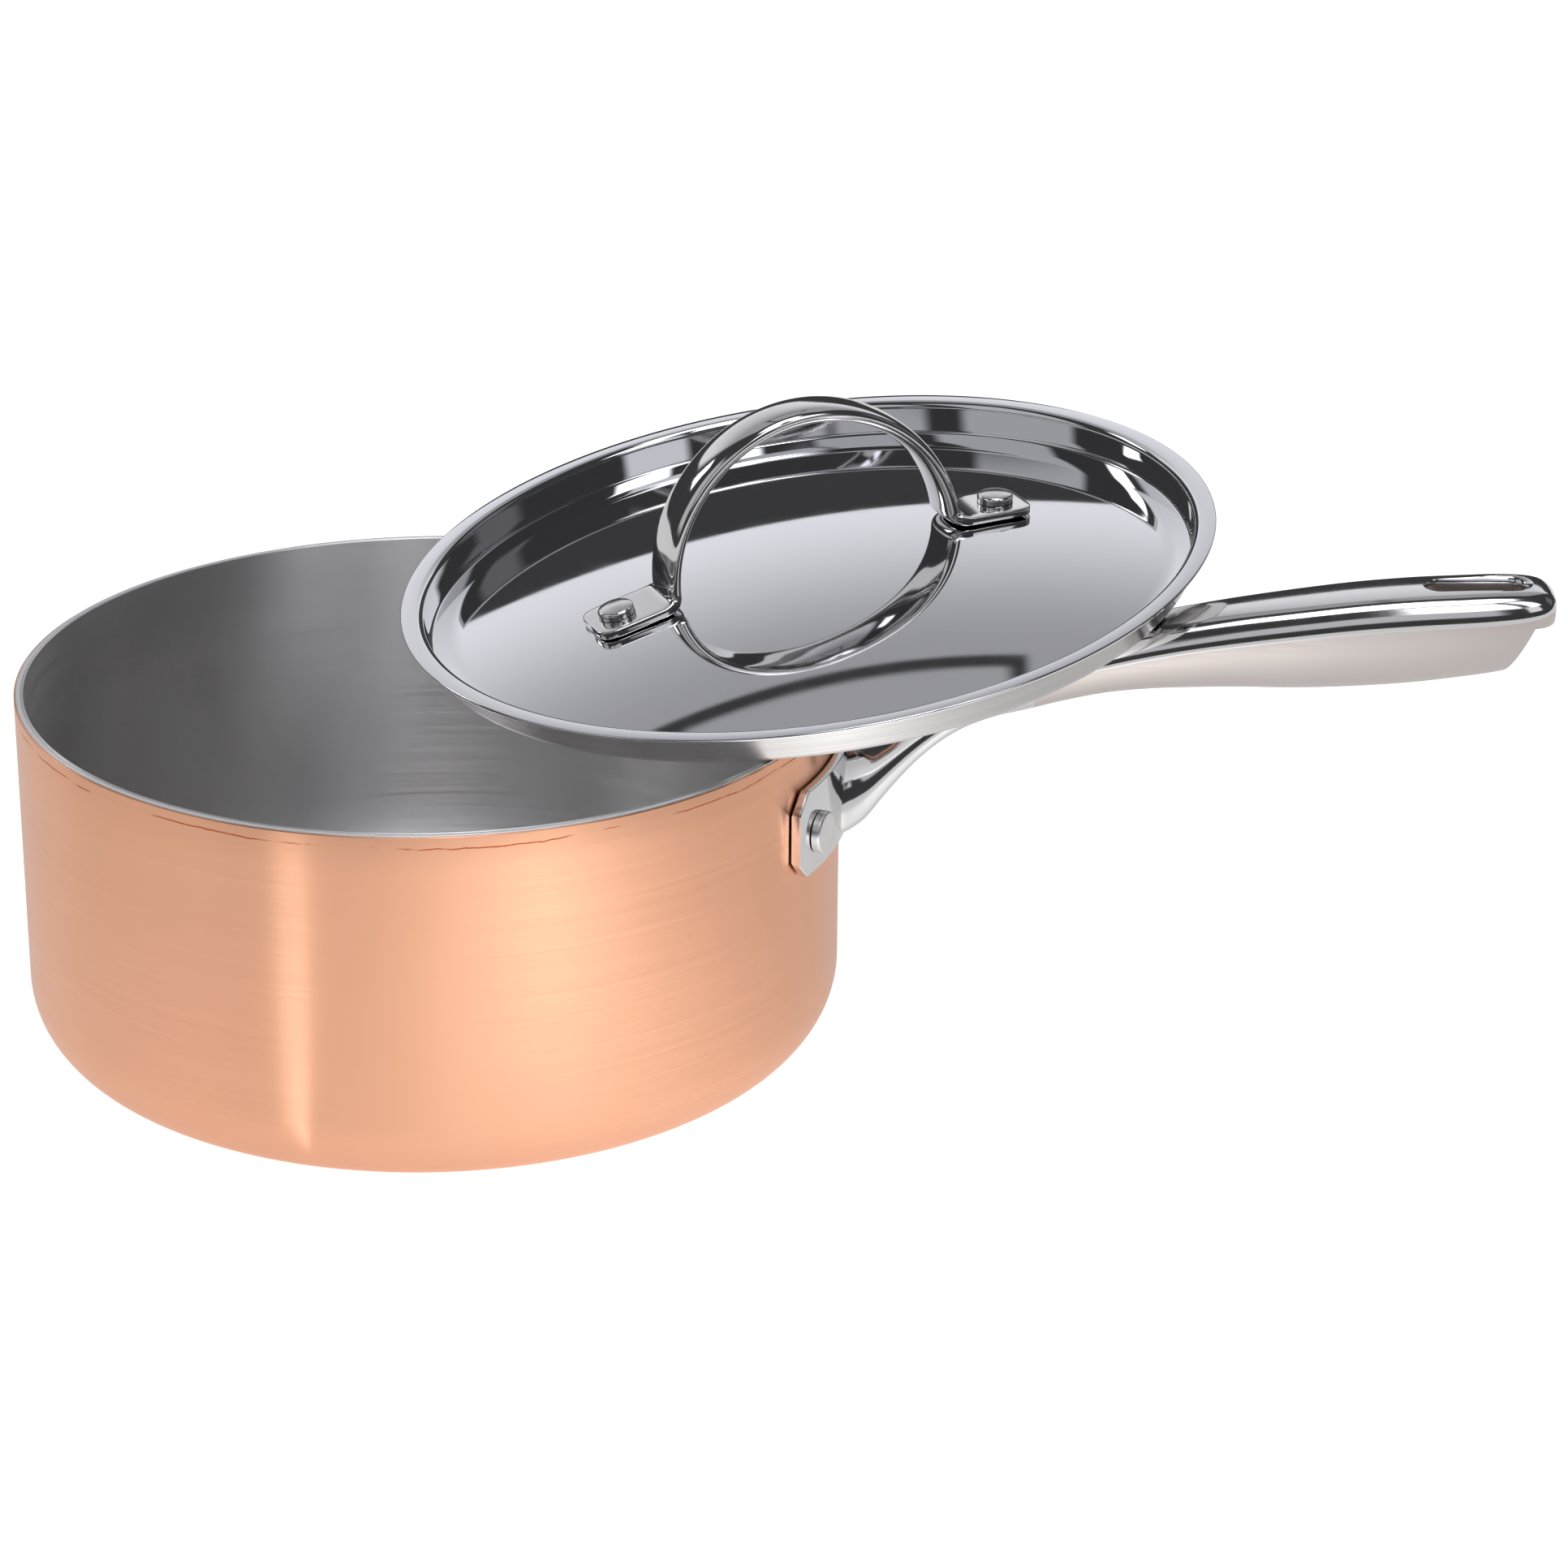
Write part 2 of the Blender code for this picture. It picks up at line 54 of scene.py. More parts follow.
camera.location = (0.08643, -1.03224, 0.49651)

# The studio is a plain white table in a dim room with soft lights round it.
# Low behind the pan the room is dark, and over that hangs a wide pale screen that the lid mirrors.
bpy.context.scene.view_settings.view_transform = "Standard"
room = bpy.data.worlds.new("studio")
bpy.context.scene.world = room
room.use_nodes = True
room_nodes = room.node_tree.nodes
room_links = room.node_tree.links
room_nodes.clear()


def room_value(value):
    node = room_nodes.new("ShaderNodeValue")
    node.outputs[0].default_value = value
    return node.outputs[0]


def room_math(operation, first, second=0.0):
    node = room_nodes.new("ShaderNodeMath")
    node.operation = operation
    for socket, value in zip(node.inputs, (first, second)):
        if isinstance(value, (int, float)):
            socket.default_value = value
        else:
            room_links.new(value, socket)
    return node.outputs[0]


def room_step(value, low, high):
    """Smooth rise from 0 at low to 1 at high, in degrees."""
    node = room_nodes.new("ShaderNodeMapRange")
    node.interpolation_type = "SMOOTHSTEP"
    room_links.new(value, node.inputs["Value"])
    node.inputs["From Min"].default_value = low
    node.inputs["From Max"].default_value = high
    return node.outputs["Result"]


def room_window(value, low, high, soft):
    rise = room_step(value, low - soft, low)
    fall = room_step(value, high + soft, high)
    return room_math("MULTIPLY", rise, fall)


# Bearings are measured from the camera's side of the pan and grow to the right; rear ones start behind it.
direction = room_nodes.new("ShaderNodeTexCoord").outputs["Generated"]
split = room_nodes.new("ShaderNodeSeparateXYZ")
room_links.new(direction, split.inputs[0])
climb = room_math("MULTIPLY", room_math("ARCSINE", split.outputs["Z"]), 180.0 / math.pi)
flipped = room_math("MULTIPLY", split.outputs["Y"], -1.0)
bearing = room_math("MULTIPLY", room_math("ARCTAN2", split.outputs["X"], flipped), 180.0 / math.pi)
rear = room_math("MULTIPLY", room_math("ARCTAN2", split.outputs["X"], split.outputs["Y"]), 180.0 / math.pi)

dim_room = 0.05
glow = room_value(dim_room)
lights = [
    # lowest and highest bearing, its soft edge, lowest and highest climb, its soft edge, strength
    (-41.0, -18.0, 5.0, 22.0, 48.0, 6.0, 0.50),
    (-10.0, 12.0, 6.0, 26.0, 44.0, 6.0, 0.55),
    (33.0, 51.0, 4.0, 26.0, 46.0, 5.0, 0.85),
    (42.0, 62.0, 4.0, 50.0, 72.0, 5.0, 2.60),
    (6.0, 26.0, 4.0, 50.0, 72.0, 5.0, 2.60),
    (-92.0, -58.0, 5.0, 12.0, 48.0, 8.0, 0.50),
    (-125.0, -119.0, 2.0, 20.0, 32.0, 2.0, 5.0),
    (104.0, 120.0, 8.0, 20.0, 40.0, 8.0, 0.12),
]
for bearing_low, bearing_high, bearing_soft, low, high, soft, strength in lights:
    wide = room_window(bearing, bearing_low, bearing_high, bearing_soft)
    tall = room_window(climb, low, high, soft)
    panel = room_math("MULTIPLY", room_math("MULTIPLY", wide, tall), strength)
    glow = room_math("ADD", glow, panel)
# The screen is brightest at its foot, and a black-edged hatch is cut into its upper half.
screen_foot = 20.0
screen_top = 64.0
foot_strength = 0.92
screen_loss = 0.56
screen_wide = room_window(rear, -44.0, 32.0, 6.0)
screen_tall = room_window(climb, screen_foot, screen_top, 0.5)
screen_fall = room_math("MULTIPLY", room_step(climb, 18.0, 43.0), screen_loss)
screen_fade = room_math("SUBTRACT", foot_strength, screen_fall)
screen = room_math("MULTIPLY", room_math("MULTIPLY", screen_wide, screen_tall), screen_fade)
hatch = room_math("MULTIPLY", room_window(rear, -22.5, 2.0, 0.8), room_step(climb, 43.2, 43.8))
screen = room_math("MULTIPLY", screen, room_math("SUBTRACT", 1.0, hatch))
hatch_wide = room_window(rear, -20.2, 0.6, 1.2)
hatch_tall = room_window(climb, 45.4, screen_top, 0.9)
inside_hatch = room_math("MULTIPLY", hatch_wide, hatch_tall)
hatch_strength = 0.36
glow = room_math("ADD", glow, screen)
glow = room_math("ADD", glow, room_math("MULTIPLY", inside_hatch, hatch_strength))
top_strength = 5.0
top_light = room_math("MULTIPLY", room_step(climb, 76.0, 82.0), top_strength)
glow = room_math("ADD", glow, top_light)

seen = room_nodes.new("ShaderNodeLightPath")
room_tint = room_nodes.new("ShaderNodeBackground")
room_tint.inputs["Color"].default_value = (0.94, 0.945, 1.0, 1.0)
room_links.new(glow, room_tint.inputs["Strength"])
plain = room_nodes.new("ShaderNodeBackground")
plain.inputs["Color"].default_value = (1.0, 1.0, 1.0, 1.0)
plain.inputs["Strength"].default_value = 1.05
chosen = room_nodes.new("ShaderNodeMixShader")
room_links.new(seen.outputs["Is Camera Ray"], chosen.inputs["Fac"])
room_links.new(room_tint.outputs[0], chosen.inputs[1])
room_links.new(plain.outputs[0], chosen.inputs[2])
room_out = room_nodes.new("ShaderNodeOutputWorld")
room_links.new(chosen.outputs[0], room_out.inputs["Surface"])

# Two sheets of white paper cover the table, one just over the other.
# The camera sees the upper one, and the metal mirrors only the darker one under it.
half_table = 8.0
# The painted pool and wash of lamp light on the under sheet: where they sit, how far they reach and how
# strongly they glow.
painted_pool_middle = (0.13, -0.24)
painted_pool_reach = (0.20, 0.27)
painted_pool_strength = 1.6
painted_wash_middle = -0.22
painted_wash_reach = 0.45
painted_wash_strength = 0.34
for sheet_name, height, white, glowing in (
    ("paper_top", 0.0, (0.80, 0.80, 0.80), 0.84),
    ("paper_under", -0.0002, (0.40, 0.395, 0.39), 0.52),
):
    sheet = bpy.data.meshes.new(sheet_name)
    corners = [(-half_table, -half_table), (half_table, -half_table)]
    corners += [(half_table, half_table), (-half_table, half_table)]
    sheet.from_pydata([(x, y, height) for x, y in corners], [], [(0, 1, 2, 3)])
    paper = bpy.data.objects.new(sheet_name, sheet)
    bpy.context.scene.collection.objects.link(paper)
    finish = bpy.data.materials.new(sheet_name)
    finish.use_nodes = True
    paper_shader = finish.node_tree.nodes["Principled BSDF"]
    paper_shader.inputs["Base Color"].default_value = (*white, 1.0)
    paper_shader.inputs["Roughness"].default_value = 0.9
    paper_shader.inputs["Specular IOR Level"].default_value = 0.0
    paper_shader.inputs["Emission Color"].default_value = (1.0, 1.0, 1.0, 1.0)
    paper_shader.inputs["Emission Strength"].default_value = glowing
    sheet.materials.append(finish)
    if sheet_name == "paper_under":
        # A painted pool of light glows on the under sheet in front of the pan, over a wider painted wash, in
        # place of a lamp on the right.
        spot = finish.node_tree.nodes.new("ShaderNodeTexCoord")
        shifted = finish.node_tree.nodes.new("ShaderNodeMapping")
        pool_move = (-painted_pool_middle[0] / painted_pool_reach[0], -painted_pool_middle[1] / painted_pool_reach[1], 0.0)
        shifted.inputs["Location"].default_value = pool_move
        shifted.inputs["Scale"].default_value = (1.0 / painted_pool_reach[0], 1.0 / painted_pool_reach[1], 1.0)
        finish.node_tree.links.new(spot.outputs["Object"], shifted.inputs["Vector"])
        painted_pool = finish.node_tree.nodes.new("ShaderNodeTexGradient")
        painted_pool.gradient_type = "QUADRATIC_SPHERE"
        finish.node_tree.links.new(shifted.outputs["Vector"], painted_pool.inputs["Vector"])
        near = finish.node_tree.nodes.new("ShaderNodeMapping")
        near.inputs["Location"].default_value = (0.0, -painted_wash_middle / painted_wash_reach, 0.0)
        near.inputs["Scale"].default_value = (1.0 / painted_wash_reach, 1.0 / painted_wash_reach, 1.0)
        finish.node_tree.links.new(spot.outputs["Object"], near.inputs["Vector"])
        painted_wash = finish.node_tree.nodes.new("ShaderNodeTexGradient")
        painted_wash.gradient_type = "QUADRATIC_SPHERE"
        finish.node_tree.links.new(near.outputs["Vector"], painted_wash.inputs["Vector"])
        painted_wash_glow = finish.node_tree.nodes.new("ShaderNodeMath")
        painted_wash_glow.operation = "MULTIPLY_ADD"
        finish.node_tree.links.new(painted_wash.outputs["Fac"], painted_wash_glow.inputs[0])
        painted_wash_glow.inputs[1].default_value = painted_wash_strength
        painted_wash_glow.inputs[2].default_value = glowing
        painted_pool_glow = finish.node_tree.nodes.new("ShaderNodeMath")
        painted_pool_glow.operation = "MULTIPLY_ADD"
        finish.node_tree.links.new(painted_pool.outputs["Fac"], painted_pool_glow.inputs[0])
        painted_pool_glow.inputs[1].default_value = painted_pool_strength
        finish.node_tree.links.new(painted_wash_glow.outputs[0], painted_pool_glow.inputs[2])
        finish.node_tree.links.new(painted_pool_glow.outputs[0], paper_shader.inputs["Emission Strength"])
    paper.visible_camera = sheet_name == "paper_top"
    paper.visible_glossy = sheet_name == "paper_under"
    paper.visible_diffuse = False
    paper.visible_shadow = False

# A narrow strip at the front left glows on the table, pointing at the pan: a painted streak of lamp light.
# Only the metal mirrors it, so it shows as the sharp bright band on the copper.
streak_start = (-0.0247, -0.0969)
streak_left = -41.0
streak_right = -30.0
streak_near = 0.006
streak_far = 0.27
streak = bpy.data.meshes.new("painted_light_streak")
streak_corners = []
for away, aside in (
    (streak_near, streak_left),
    (streak_near, streak_right),
    (streak_far, streak_right),
    (streak_far, streak_left),
):
    turn = math.radians(aside)
    x = streak_start[0] + away * math.sin(turn)
    y = streak_start[1] - away * math.cos(turn)
    streak_corners.append((x, y, -0.0001))
streak.from_pydata(streak_corners, [], [(0, 1, 2, 3)])
painted_light_streak = bpy.data.objects.new("painted_light_streak", streak)
bpy.context.scene.collection.objects.link(painted_light_streak)
painted_streak_glow = bpy.data.materials.new("painted_streak_glow")
painted_streak_glow.use_nodes = True
painted_streak_shader = painted_streak_glow.node_tree.nodes["Principled BSDF"]
painted_streak_shader.inputs["Base Color"].default_value = (0.0, 0.0, 0.0, 1.0)
painted_streak_shader.inputs["Emission Color"].default_value = (1.0, 1.0, 1.0, 1.0)
# How brightly the painted streak of light glows.
painted_streak_shader.inputs["Emission Strength"].default_value = 1.75
streak.materials.append(painted_streak_glow)
painted_light_streak.visible_camera = False
painted_light_streak.visible_diffuse = False
painted_light_streak.visible_shadow = False

# The pan's wall is one pressing of three bonded sheets, and the outer one is thin copper.
# It is spun, then polished round to a satin, so its faint lines run round and smear lights upright.
pan_radius = 0.1000
pan_height = 0.0914
base_corner = 0.0184
copper_thick = 0.00045
lip_round = 0.00016


def metal(name, colour, roughness, spread, grain, depth, cloud=0.04, brushed=0.0):
    """Bare metal with its grain stretched to the given scale, uneven shine and a slow change of tone."""
    made = bpy.data.materials.new(name)
    made.use_nodes = True
    nodes = made.node_tree.nodes
    links = made.node_tree.links
    shader = nodes["Principled BSDF"]
    shader.inputs["Metallic"].default_value = 1.0
    shader.inputs["Anisotropic"].default_value = brushed
    place = nodes.new("ShaderNodeTexCoord")
    stretch = nodes.new("ShaderNodeMapping")
    stretch.inputs["Scale"].default_value = grain
    links.new(place.outputs["Object"], stretch.inputs["Vector"])
    lines = nodes.new("ShaderNodeTexNoise")
    lines.inputs["Scale"].default_value = 1.0
    lines.inputs["Detail"].default_value = 5.0
    lines.inputs["Roughness"].default_value = 0.65
    links.new(stretch.outputs["Vector"], lines.inputs["Vector"])
    shine = nodes.new("ShaderNodeMapRange")
    shine.inputs["From Min"].default_value = 0.25
    shine.inputs["From Max"].default_value = 0.75
    shine.inputs["To Min"].default_value = roughness - spread
    shine.inputs["To Max"].default_value = roughness + spread
    links.new(lines.outputs["Fac"], shine.inputs["Value"])
    links.new(shine.outputs["Result"], shader.inputs["Roughness"])
    relief = nodes.new("ShaderNodeBump")
    relief.inputs["Strength"].default_value = 1.0
    relief.inputs["Distance"].default_value = depth
    links.new(lines.outputs["Fac"], relief.inputs["Height"])
    links.new(relief.outputs["Normal"], shader.inputs["Normal"])
    patches = nodes.new("ShaderNodeTexNoise")
    patches.inputs["Scale"].default_value = 28.0
    patches.inputs["Detail"].default_value = 3.0
    links.new(place.outputs["Object"], patches.inputs["Vector"])
    tone = nodes.new("ShaderNodeMix")
    tone.data_type = "RGBA"
    tone.inputs["A"].default_value = (*[part * (1.0 - cloud) for part in colour], 1.0)
    tone.inputs["B"].default_value = (*[min(1.0, part * (1.0 + cloud)) for part in colour], 1.0)
    links.new(patches.outputs["Fac"], tone.inputs["Factor"])
    links.new(tone.outputs["Result"], shader.inputs["Base Color"])
    if brushed > 0.0:
        round_way = nodes.new("ShaderNodeTangent")
        round_way.direction_type = "RADIAL"
        round_way.axis = "Z"
        links.new(round_way.outputs["Tangent"], shader.inputs["Tangent"])
        shader.inputs["Anisotropic Rotation"].default_value = 0.25
    return made


def arc(centre_r, centre_z, radius, start, end, steps):
    points = []
    for step in range(steps + 1):
        angle = math.radians(start + (end - start) * step / steps)
        points.append((centre_r + radius * math.cos(angle), centre_z + radius * math.sin(angle)))
    return points


def turned(name, outline, facets, place=None):
    """A closed outline of radius and height, turned round the upright axis."""
    points = []
    rings = []
    for radius, height in outline:
        if radius < 1e-7:
            rings.append([len(points)] * facets)
            points.append((0.0, 0.0, height))
            continue
        rings.append([len(points) + step for step in range(facets)])
        for step in range(facets):
            angle = 2.0 * math.pi * step / facets
            points.append((radius * math.cos(angle), radius * math.sin(angle), height))
    faces = []
    pairs = [(row, row + 1) for row in range(len(rings) - 1)]
    if outline[0][0] > 1e-7 or outline[-1][0] > 1e-7:
        pairs.append((len(rings) - 1, 0))
    for low, high in pairs:
        for step in range(facets):
            after = (step + 1) % facets
            corners = [rings[low][step], rings[low][after], rings[high][after], rings[high][step]]
            faces.append(list(dict.fromkeys(corners)))
    mesh = bpy.data.meshes.new(name)
    mesh.from_pydata(points, [], [face for face in faces if len(face) > 2])
    work = bmesh.new()
    work.from_mesh(mesh)
    bmesh.ops.recalc_face_normals(work, faces=work.faces)
    work.to_mesh(mesh)
    work.free()
    mesh.polygons.foreach_set("use_smooth", [True] * len(mesh.polygons))
    mesh.set_sharp_from_angle(angle=math.radians(40.0))
    made = bpy.data.objects.new(name, mesh)
    bpy.context.scene.collection.objects.link(made)
    if place is not None:
        made.matrix_world = place
    return made


def sheet_outline(outside, inside, top):
    """One of the bonded sheets, between two depths in from the outer face."""
    centre_r = pan_radius - base_corner
    upright = [base_corner + (top - base_corner) * step / 8.0 for step in range(1, 8)]
    outline = [(0.0, outside)]
    outline += [(centre_r * step / 6.0, outside) for step in range(1, 6)]
    outline += arc(centre_r, base_corner, base_corner - outside, -90.0, 0.0, 24)
    outline += [(pan_radius - outside, height) for height in upright]
    outline += arc(pan_radius - outside - lip_round, top - lip_round, lip_round, 0.0, 90.0, 4)
    outline += arc(pan_radius - inside + lip_round, top - lip_round, lip_round, 90.0, 180.0, 4)
    outline += [(pan_radius - inside, height) for height in reversed(upright)]
    outline += arc(centre_r, base_corner, base_corner - inside, 0.0, -90.0, 24)
    outline += [(centre_r * step / 6.0, inside) for step in range(5, 0, -1)]
    outline.append((0.0, inside))
    return outline


copper = metal(
    "copper_satin", (0.985, 0.515, 0.325), 0.31, 0.05, (10.0, 10.0, 3600.0), 0.0000004, 0.03, 0.93
)
# A scratched line wanders round just under the lip, broken in places and a deeper red than the wall.
scratch_height = 0.09045
scratch_half = 0.00016
scratch_wander = 0.0034
copper_nodes = copper.node_tree.nodes
copper_links = copper.node_tree.links
copper_place = copper_nodes.new("ShaderNodeTexCoord")
copper_split = copper_nodes.new("ShaderNodeSeparateXYZ")
copper_links.new(copper_place.outputs["Object"], copper_split.inputs[0])
wander = copper_nodes.new("ShaderNodeTexNoise")
wander.inputs["Scale"].default_value = 34.0
wander.inputs["Detail"].default_value = 6.0
wander.inputs["Roughness"].default_value = 0.6
copper_links.new(copper_place.outputs["Object"], wander.inputs["Vector"])
drift = copper_nodes.new("ShaderNodeMath")
drift.operation = "MULTIPLY_ADD"
copper_links.new(wander.outputs["Fac"], drift.inputs[0])
drift.inputs[1].default_value = scratch_wander
copper_links.new(copper_split.outputs["Z"], drift.inputs[2])
on_line = copper_nodes.new("ShaderNodeMath")
on_line.operation = "COMPARE"
copper_links.new(drift.outputs[0], on_line.inputs[0])
on_line.inputs[1].default_value = scratch_height
on_line.inputs[2].default_value = scratch_half
broken = copper_nodes.new("ShaderNodeMapRange")
broken.interpolation_type = "SMOOTHSTEP"
breaks = copper_nodes.new("ShaderNodeTexNoise")
breaks.inputs["Scale"].default_value = 75.0
breaks.inputs["Detail"].default_value = 4.0
copper_links.new(copper_place.outputs["Object"], breaks.inputs["Vector"])
copper_links.new(breaks.outputs["Fac"], broken.inputs["Value"])
broken.inputs["From Min"].default_value = 0.42
broken.inputs["From Max"].default_value = 0.56
mark = copper_nodes.new("ShaderNodeMath")
mark.operation = "MULTIPLY"
copper_links.new(on_line.outputs[0], mark.inputs[0])
copper_links.new(broken.outputs["Result"], mark.inputs[1])
scratched = copper_nodes.new("ShaderNodeMix")
scratched.data_type = "RGBA"
scratched.inputs["B"].default_value = (0.58, 0.13, 0.05, 1.0)
plain_copper = copper_nodes["Principled BSDF"].inputs["Base Color"].links[0].from_socket
copper_links.new(mark.outputs[0], scratched.inputs["Factor"])
copper_links.new(plain_copper, scratched.inputs["A"])
copper_links.new(scratched.outputs["Result"], copper_nodes["Principled BSDF"].inputs["Base Color"])

wall_facets = 288
copper_top = pan_height - 0.0003
copper_wall = turned("copper_wall", sheet_outline(0.0, copper_thick, copper_top), wall_facets)
copper_wall.data.materials.append(copper)
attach(copper_wall, "pan")
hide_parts("copper_shell")

# Under the copper lies a thick sheet of aluminium that spreads the heat.
# It shows only as the white cut edge of the lip, with the end of the steel beside it.
core_in = 0.00165
core_edge = metal("aluminium_cut", (0.93, 0.93, 0.92), 0.34, 0.06, (900.0, 900.0, 900.0), 0.000002, 0.03)
core = turned("aluminium_layer", sheet_outline(copper_thick, core_in, pan_height), wall_facets)
core.data.materials.append(core_edge)
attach(core, "pan")
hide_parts("aluminium_core")

# The inside of the pan is a skin of stainless steel, brushed round by a wheel as the pan turns.
# The brushing spreads each light into an upright band on the wall.
lining_in = 0.00234
lining_steel = metal(
    "steel_interior", (0.96, 0.935, 0.905), 0.44, 0.12, (7.0, 7.0, 900.0), 0.0000200, 0.12, 0.95
)
lining = turned("steel_lining", sheet_outline(core_in, lining_in, pan_height), wall_facets)
lining.data.materials.append(lining_steel)
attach(lining, "pan")
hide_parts("steel_liner")

# The handle is one steel casting: a curved plate that hugs the wall, a waisted neck and a long grip.
# Its top and bevels are mirror polished, its sides are left satin, and a slot near its end hangs it up.
plate_inner = pan_radius + 0.0004
plate_outer = plate_inner + 0.0024
plate_half = 28.4
plate_bottom = 0.0580
plate_top = 0.0800
plate_clip = 0.0040
plate_edge = 0.0006
neck_start = 0.1034
neck_end = 0.140
crown_angle = 14.0
crown_fall = 0.05
satin_from = 146.0
slot_width = 0.0080
slot_length = 0.0244
slot_middle = 0.2527
# Along, top, widest line, bottom, half width and half top of the casting, in millimetres.
grip_stations = [
    (101.9, 79.6, 63.0, 58.4, 23.0, 11.0),
    (103.4, 79.9, 63.4, 58.5, 22.4, 10.4),
    (105.2, 80.6, 64.4, 59.4, 21.4, 9.6),
    (107.7, 81.8, 66.4, 61.4, 20.2, 8.8),
    (111.0, 83.6, 70.2, 65.8, 18.9, 8.0),
    (115.0, 86.0, 74.6, 70.6, 17.5, 7.3),
    (119.5, 88.6, 78.8, 75.2, 16.1, 6.8),
    (124.5, 91.2, 82.6, 79.0, 14.9, 6.4),
    (130.0, 93.6, 85.8, 81.8, 13.8, 6.1),
    (137.0, 96.2, 89.0, 83.8, 12.8, 5.8),
    (145.0, 98.8, 92.2, 85.2, 11.9, 5.6),
    (154.0, 101.3, 95.8, 87.2, 11.2, 5.3),
    (164.0, 104.5, 98.2, 89.2, 10.8, 5.0),
    (174.0, 107.1, 100.4, 90.2, 10.8, 4.8),
    (184.0, 109.0, 102.4, 90.6, 11.0, 5.2),
    (196.0, 111.0, 104.3, 90.8, 11.4, 6.0),
    (210.0, 113.0, 106.3, 90.7, 11.9, 6.7),
    (224.0, 114.8, 108.0, 91.2, 12.2, 7.1),
    (238.0, 116.1, 109.2, 92.3, 12.3, 7.2),
    (250.0, 116.8, 110.0, 93.9, 12.2, 7.1),
    (258.0, 117.2, 110.6, 95.2, 11.9, 6.9),
    (264.0, 117.3, 111.2, 96.8, 11.2, 6.3),
    (268.0, 117.0, 111.8, 99.6, 10.0, 5.4),
    (270.2, 116.2, 112.4, 103.5, 8.4, 4.2),
    (271.6, 115.0, 112.6, 107.0, 6.2, 2.8),
]


def smooth_between(rows, steps):
    """Rows drawn through the given ones on smooth curves, with steps to each gap."""
    drawn = []
    last = len(rows) - 1
    for index in range(last):
        before, low = rows[max(0, index - 1)], rows[index]
        high, after = rows[index + 1], rows[min(last, index + 2)]
        for step in range(steps):
            t = step / steps
            row = []
            for a, b, c, d in zip(before, low, high, after):
                bend = (2.0 * a - 5.0 * b + 4.0 * c - d) * t * t + (3.0 * b - a - 3.0 * c + d) * t**3
                row.append(0.5 * (2.0 * b + (c - a) * t + bend))
            drawn.append(tuple(row))
    drawn.append(tuple(rows[last]))
    return drawn


def joined_rings(name, rings, slots):
    """Rings of equal length joined in order and capped; slots gives a finish to each face of a ring."""
    count = len(rings[0])
    points = [point for ring in rings for point in ring]
    faces = []
    finish = []
    for row in range(len(rings) - 1):
        for step in range(count):
            after = (step + 1) % count
            base = row * count
            faces.append([base + step, base + after, base + count + after, base + count + step])
            finish.append(slots(row, step))
    last = (len(rings) - 1) * count
    faces.append(list(reversed(range(count))))
    finish.append(slots(0, 0))
    faces.append([last + step for step in range(count)])
    finish.append(slots(len(rings) - 1, 0))
    mesh = bpy.data.meshes.new(name)
    mesh.from_pydata(points, [], faces)
    mesh.polygons.foreach_set("material_index", finish)
    work = bmesh.new()
    work.from_mesh(mesh)
    bmesh.ops.recalc_face_normals(work, faces=work.faces)
    work.to_mesh(mesh)
    work.free()
    mesh.polygons.foreach_set("use_smooth", [True] * len(mesh.polygons))
    made = bpy.data.objects.new(name, mesh)
    bpy.context.scene.collection.objects.link(made)
    return made


def grip_ring(station):
    """Section of the casting: a nearly flat top, rounded bevels and full sides, bowed at the neck."""
    along, top, wide, bottom, half, flat = [value * 0.001 for value in station]
    bend = min(1.0, max(0.0, (neck_end - along) / (neck_end - neck_start))) ** 2
    shoulder = half - flat
    rise = top - wide
    upper = [(flat * step / 8.0, top - rise * crown_fall * (step / 8.0) ** 2) for step in range(8)]
    crown = math.radians(crown_angle)
    for step in range(23):
        angle = math.radians(crown_angle + (90.0 - crown_angle) * step / 22)
        out = (math.sin(angle) - math.sin(crown)) / (1.0 - math.sin(crown))
        down = 1.0 - math.cos(angle) / math.cos(crown)
        upper.append((flat + shoulder * out, top - rise * (crown_fall + (1.0 - crown_fall) * down)))
    lower = []
    drop = wide - bottom
    power = 2.4 + 3.0 * bend
    for step in range(1, 24):
        angle = math.radians(90.0 * step / 24)
        side = half * math.cos(angle) ** (2.0 / power)
        lower.append((side, wide - drop * math.sin(angle) ** (2.0 / power)))
    lower.append((0.0, bottom))
    outline = upper + lower
    outline += [(-side, height) for side, height in reversed(outline[1:-1])]
    ring = []
    for side, height in outline:
        sag = along - math.sqrt(along * along - side * side)
        ring.append((along - bend * sag, side, height))
    return ring


fine_stations = smooth_between(grip_stations, 10)
upper_count = 30
ring_count = len(grip_ring(grip_stations[0]))


def grip_finish(row, step):
    """1, the satin, on the sides of the grip, and 0, the polish, everywhere else."""
    on_side = upper_count <= step < ring_count - upper_count
    along = fine_stations[min(row, len(fine_stations) - 1)][0]
    return 1 if on_side and along > satin_from else 0


polished = metal(
    "steel_cast_polished", (0.74, 0.735, 0.73), 0.085, 0.03, (160.0, 160.0, 160.0), 0.0000006, 0.03
)
satin = metal("steel_cast_satin", (0.66, 0.605, 0.575), 0.34, 0.07, (60.0, 1400.0, 1400.0), 0.0000020, 0.04)
casting = joined_rings("handle_casting", [grip_ring(station) for station in fine_stations], grip_finish)

# The slot's mouth flares into the top, and the end of the casting is cut off aslant underneath.

